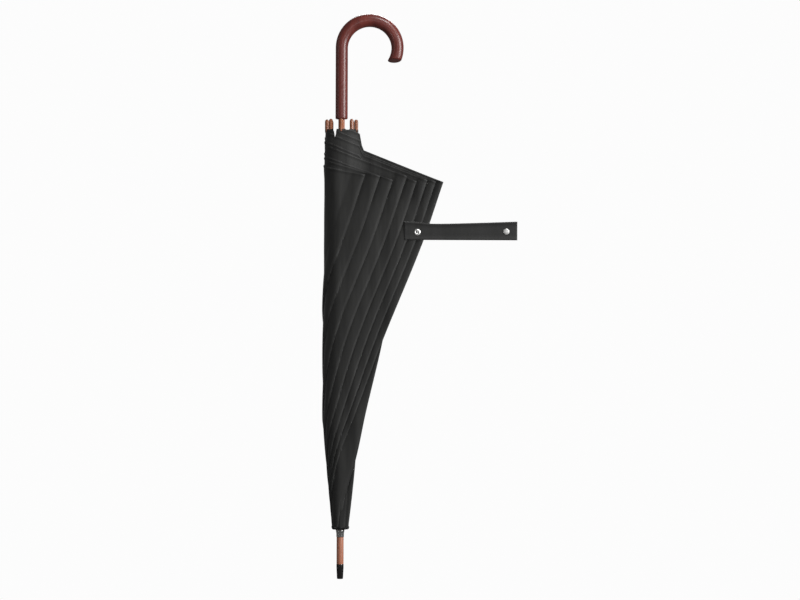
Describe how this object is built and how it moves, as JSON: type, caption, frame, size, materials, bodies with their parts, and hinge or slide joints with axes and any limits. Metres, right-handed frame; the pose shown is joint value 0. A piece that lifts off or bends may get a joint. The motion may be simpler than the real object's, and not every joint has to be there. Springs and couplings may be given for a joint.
{
  "type": "stick umbrella",
  "caption": "Full-length stick umbrella with a wooden crook handle and shaft, black cloth canopy closed but unwrapped, and a loose snap strap; its ribs open.",
  "frame": {"origin": "centre of the tip cap's flat end face", "axes": "+Z along the shaft from tip to handle; +X towards the open side of the crook, the loose flaps and the strap; -Y towards the flaps' outer face"},
  "size_m": [0.306, 0.0605, 0.8899],
  "materials": {
    "handle_wood": "dark mahogany stain under gloss lacquer",
    "shaft_wood": "satin varnished light brown wood",
    "rib_tip_wood": "varnished orange-brown wood",
    "tip_black": "glossy black",
    "chrome": "bright plated",
    "steel": "drawn and zinc plated",
    "canopy_cloth": "plain-weave charcoal black cloth, slight sheen",
    "strap_cloth": "doubled plain-weave cloth with stitched edges"
  },
  "bodies": {
    "stick": {"shaft": "shaft_wood", "handle": "handle_wood", "tip_cap": "tip_black", "ferrule_cup": "chrome", "ferrule_pin": "chrome", "rosette": "canopy_cloth", "crown_notch": "chrome", "crown_wire": "steel", "stop_pin": "steel"},
    "runner": {"runner": "chrome", "runner_wire": "steel"},
    "rib_1": {"rib_1": "steel", "rib_tip_1": "rib_tip_wood", "rib_rivet_1": "steel"},
    "stretcher_1": {"stretcher_1": "steel"},
    "gore_1": {"canopy_gore_1": "canopy_cloth"},
    "rib_2": {"rib_2": "steel", "rib_tip_2": "rib_tip_wood", "rib_rivet_2": "steel"},
    "stretcher_2": {"stretcher_2": "steel"},
    "gore_2": {"canopy_gore_2": "canopy_cloth"},
    "rib_3": {"rib_3": "steel", "rib_tip_3": "rib_tip_wood", "rib_rivet_3": "steel"},
    "stretcher_3": {"stretcher_3": "steel"},
    "gore_3": {"canopy_gore_3": "canopy_cloth"},
    "rib_4": {"rib_4": "steel", "rib_tip_4": "rib_tip_wood", "rib_rivet_4": "steel"},
    "stretcher_4": {"stretcher_4": "steel"},
    "gore_4": {"canopy_gore_4": "canopy_cloth"},
    "rib_5": {"rib_5": "steel", "rib_tip_5": "rib_tip_wood", "rib_rivet_5": "steel"},
    "stretcher_5": {"stretcher_5": "steel"},
    "gore_5": {"canopy_gore_5": "canopy_cloth"},
    "rib_6": {"rib_6": "steel", "rib_tip_6": "rib_tip_wood", "rib_rivet_6": "steel"},
    "stretcher_6": {"stretcher_6": "steel"},
    "gore_6": {"canopy_gore_6": "canopy_cloth"},
    "rib_7": {"rib_7": "steel", "rib_tip_7": "rib_tip_wood", "rib_rivet_7": "steel"},
    "stretcher_7": {"stretcher_7": "steel"},
    "gore_7": {"canopy_gore_7": "canopy_cloth"},
    "rib_8": {"rib_8": "steel", "rib_tip_8": "rib_tip_wood", "rib_rivet_8": "steel"},
    "stretcher_8": {"stretcher_8": "steel"},
    "gore_8": {"canopy_gore_8": "canopy_cloth"},
    "flap": {"canopy_flap": "canopy_cloth", "strap_tab": "strap_cloth", "snap_stud": "chrome"},
    "strap": {"strap_band": "strap_cloth", "snap_cap": "chrome", "snap_socket": "steel"},
    "closed_catch": {"closed_catch": "steel"},
    "open_catch": {"open_catch": "steel"}
  },
  "joints": [
    {"name": "canopy_open", "type": "hinge", "parent": "stick", "child": "rib_1", "pos_m": [0.009, 0, 0.087], "axis": [0, 1, 0], "range_deg": [0, 60], "deforming": ["canopy_gore_1", "canopy_gore_2", "canopy_gore_3", "canopy_gore_4", "canopy_gore_5", "canopy_gore_6", "canopy_gore_7", "canopy_gore_8", "canopy_flap", "closed_catch", "open_catch"]},
    {"name": "stretcher_1_pivot", "type": "hinge", "parent": "rib_1", "child": "stretcher_1", "pos_m": [0.02, 0, 0.37179], "axis": [0, 1, 0], "range_deg": [-120, 0]},
    {"name": "gore_1_spread", "type": "hinge", "parent": "rib_1", "child": "gore_1", "pos_m": [0, 0, 0.0818], "axis": [-0.8152, -0.3377, -0.4706], "range_deg": [0, 44.13]},
    {"name": "rib_2_hinge", "type": "hinge", "parent": "stick", "child": "rib_2", "pos_m": [0.00636, 0.00636, 0.087], "axis": [-0.7071, 0.7071, 0], "range_deg": [0, 60]},
    {"name": "stretcher_2_pivot", "type": "hinge", "parent": "rib_2", "child": "stretcher_2", "pos_m": [0.01414, 0.01414, 0.37179], "axis": [-0.7071, 0.7071, 0], "range_deg": [-120, 0]},
    {"name": "gore_2_spread", "type": "hinge", "parent": "rib_2", "child": "gore_2", "pos_m": [0, 0, 0.0818], "axis": [-0.3377, -0.8152, -0.4706], "range_deg": [0, 44.13]},
    {"name": "rib_3_hinge", "type": "hinge", "parent": "stick", "child": "rib_3", "pos_m": [0, 0.009, 0.087], "axis": [-1, 0, 0], "range_deg": [0, 60]},
    {"name": "stretcher_3_pivot", "type": "hinge", "parent": "rib_3", "child": "stretcher_3", "pos_m": [0, 0.02, 0.37179], "axis": [-1, 0, 0], "range_deg": [-120, 0]},
    {"name": "gore_3_spread", "type": "hinge", "parent": "rib_3", "child": "gore_3", "pos_m": [0, 0, 0.0818], "axis": [0.3377, -0.8152, -0.4706], "range_deg": [0, 44.13]},
    {"name": "rib_4_hinge", "type": "hinge", "parent": "stick", "child": "rib_4", "pos_m": [-0.00636, 0.00636, 0.087], "axis": [-0.7071, -0.7071, 0], "range_deg": [0, 60]},
    {"name": "stretcher_4_pivot", "type": "hinge", "parent": "rib_4", "child": "stretcher_4", "pos_m": [-0.01414, 0.01414, 0.37179], "axis": [-0.7071, -0.7071, 0], "range_deg": [-120, 0]},
    {"name": "gore_4_spread", "type": "hinge", "parent": "rib_4", "child": "gore_4", "pos_m": [0, 0, 0.0818], "axis": [0.8152, -0.3377, -0.4706], "range_deg": [0, 44.13]},
    {"name": "rib_5_hinge", "type": "hinge", "parent": "stick", "child": "rib_5", "pos_m": [-0.009, 0, 0.087], "axis": [0, -1, 0], "range_deg": [0, 60]},
    {"name": "stretcher_5_pivot", "type": "hinge", "parent": "rib_5", "child": "stretcher_5", "pos_m": [-0.02, 0, 0.37179], "axis": [0, -1, 0], "range_deg": [-120, 0]},
    {"name": "gore_5_spread", "type": "hinge", "parent": "rib_5", "child": "gore_5", "pos_m": [0, 0, 0.0818], "axis": [0.8152, 0.3377, -0.4706], "range_deg": [0, 44.13]},
    {"name": "rib_6_hinge", "type": "hinge", "parent": "stick", "child": "rib_6", "pos_m": [-0.00636, -0.00636, 0.087], "axis": [0.7071, -0.7071, 0], "range_deg": [0, 60]},
    {"name": "stretcher_6_pivot", "type": "hinge", "parent": "rib_6", "child": "stretcher_6", "pos_m": [-0.01414, -0.01414, 0.37179], "axis": [0.7071, -0.7071, 0], "range_deg": [-120, 0]},
    {"name": "gore_6_spread", "type": "hinge", "parent": "rib_6", "child": "gore_6", "pos_m": [0, 0, 0.0818], "axis": [0.3377, 0.8152, -0.4706], "range_deg": [0, 44.13]},
    {"name": "rib_7_hinge", "type": "hinge", "parent": "stick", "child": "rib_7", "pos_m": [0, -0.009, 0.087], "axis": [1, 0, 0], "range_deg": [0, 60]},
    {"name": "stretcher_7_pivot", "type": "hinge", "parent": "rib_7", "child": "stretcher_7", "pos_m": [0, -0.02, 0.37179], "axis": [1, 0, 0], "range_deg": [-120, 0]},
    {"name": "gore_7_spread", "type": "hinge", "parent": "rib_7", "child": "gore_7", "pos_m": [0, 0, 0.0818], "axis": [-0.3377, 0.8152, -0.4706], "range_deg": [0, 44.13]},
    {"name": "rib_8_hinge", "type": "hinge", "parent": "stick", "child": "rib_8", "pos_m": [0.00636, -0.00636, 0.087], "axis": [0.7071, 0.7071, 0], "range_deg": [0, 60]},
    {"name": "stretcher_8_pivot", "type": "hinge", "parent": "rib_8", "child": "stretcher_8", "pos_m": [0.01414, -0.01414, 0.37179], "axis": [0.7071, 0.7071, 0], "range_deg": [-120, 0]},
    {"name": "gore_8_spread", "type": "hinge", "parent": "rib_8", "child": "gore_8", "pos_m": [0, 0, 0.0818], "axis": [-0.8152, 0.3377, -0.4706], "range_deg": [0, 44.13]},
    {"name": "runner_pivot", "type": "hinge", "parent": "stretcher_1", "child": "runner", "pos_m": [0.009, 0, 0.65658], "axis": [0, 1, 0], "range_deg": [0, 60]},
    {"name": "flap_spread", "type": "hinge", "parent": "rib_7", "child": "flap", "pos_m": [0, -0.028, 0.548], "axis": [0, 0, 1], "range_deg": [0, 12.5]},
    {"name": "strap_swing", "type": "hinge", "parent": "flap", "child": "strap", "pos_m": [0.14165, -0.0293, 0.548], "axis": [0, 0, 1], "range_deg": [-80, 80]},
    {"name": "closed_catch_press", "type": "slide", "parent": "stick", "child": "closed_catch", "axis": [-1, 0, 0], "range_m": [0, 0.0024], "stiffness_N_per_m": 400},
    {"name": "open_catch_press", "type": "slide", "parent": "stick", "child": "open_catch", "axis": [-1, 0, 0], "range_m": [0, 0.0024], "stiffness_N_per_m": 400}
  ],
  "couplings": [
    {"joint": "stretcher_1_pivot", "follows": "canopy_open", "ratio": -2},
    {"joint": "gore_1_spread", "follows": "canopy_open", "ratio": 0.73541},
    {"joint": "rib_2_hinge", "follows": "canopy_open", "ratio": 1},
    {"joint": "stretcher_2_pivot", "follows": "canopy_open", "ratio": -2},
    {"joint": "gore_2_spread", "follows": "canopy_open", "ratio": 0.73541},
    {"joint": "rib_3_hinge", "follows": "canopy_open", "ratio": 1},
    {"joint": "stretcher_3_pivot", "follows": "canopy_open", "ratio": -2},
    {"joint": "gore_3_spread", "follows": "canopy_open", "ratio": 0.73541},
    {"joint": "rib_4_hinge", "follows": "canopy_open", "ratio": 1},
    {"joint": "stretcher_4_pivot", "follows": "canopy_open", "ratio": -2},
    {"joint": "gore_4_spread", "follows": "canopy_open", "ratio": 0.73541},
    {"joint": "rib_5_hinge", "follows": "canopy_open", "ratio": 1},
    {"joint": "stretcher_5_pivot", "follows": "canopy_open", "ratio": -2},
    {"joint": "gore_5_spread", "follows": "canopy_open", "ratio": 0.73541},
    {"joint": "rib_6_hinge", "follows": "canopy_open", "ratio": 1},
    {"joint": "stretcher_6_pivot", "follows": "canopy_open", "ratio": -2},
    {"joint": "gore_6_spread", "follows": "canopy_open", "ratio": 0.73541},
    {"joint": "rib_7_hinge", "follows": "canopy_open", "ratio": 1},
    {"joint": "stretcher_7_pivot", "follows": "canopy_open", "ratio": -2},
    {"joint": "gore_7_spread", "follows": "canopy_open", "ratio": 0.73541},
    {"joint": "rib_8_hinge", "follows": "canopy_open", "ratio": 1},
    {"joint": "stretcher_8_pivot", "follows": "canopy_open", "ratio": -2},
    {"joint": "gore_8_spread", "follows": "canopy_open", "ratio": 0.73541},
    {"joint": "runner_pivot", "follows": "canopy_open", "ratio": 1},
    {"joint": "flap_spread", "follows": "canopy_open", "ratio": 0.20833}
  ]
}
